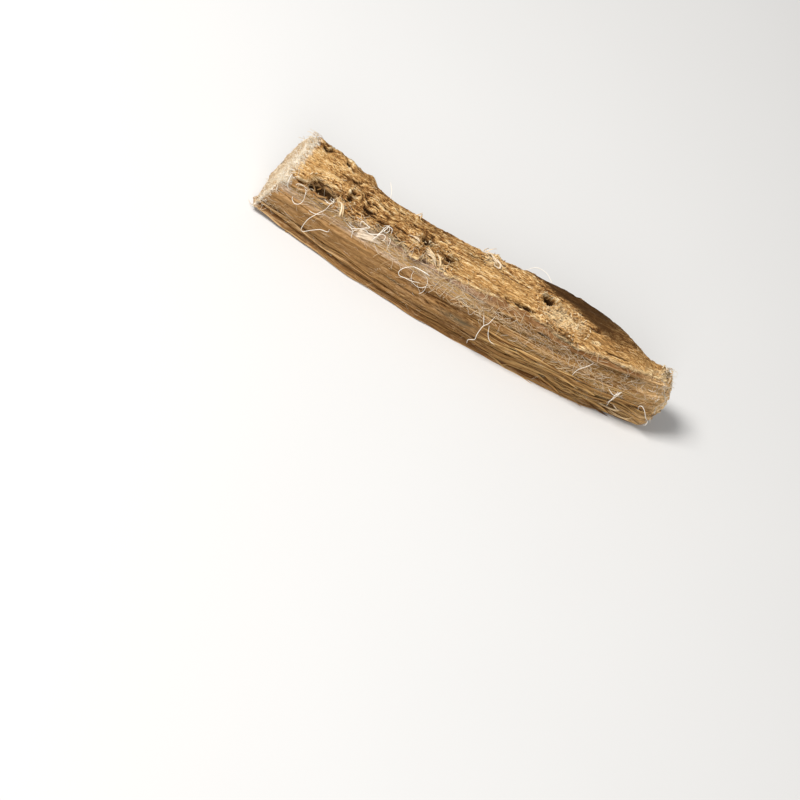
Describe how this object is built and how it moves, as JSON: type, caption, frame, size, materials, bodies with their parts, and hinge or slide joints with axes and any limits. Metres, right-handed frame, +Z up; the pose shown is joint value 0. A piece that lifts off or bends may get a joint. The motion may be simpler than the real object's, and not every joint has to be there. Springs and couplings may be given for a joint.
{
  "type": "dried marshmallow root",
  "caption": "Dried, cut length of marshmallow root: rough bark on top and back, a peeled fibrous front, one slanting cut end and one torn end, lying on its split side.",
  "frame": {"origin": "under the middle of the root's box, on the surface that it rests on", "axes": "+X along the root towards its torn end, +Y across it towards its bark-covered back, +Z up"},
  "size_m": [0.0572, 0.0112, 0.0097],
  "materials": {
    "dried_root": "matte dried bark, golden to dark brown, over tan and cream fibrous bast"
  },
  "bodies": {
    "root": {"root": "dried_root"}
  },
  "joints": []
}
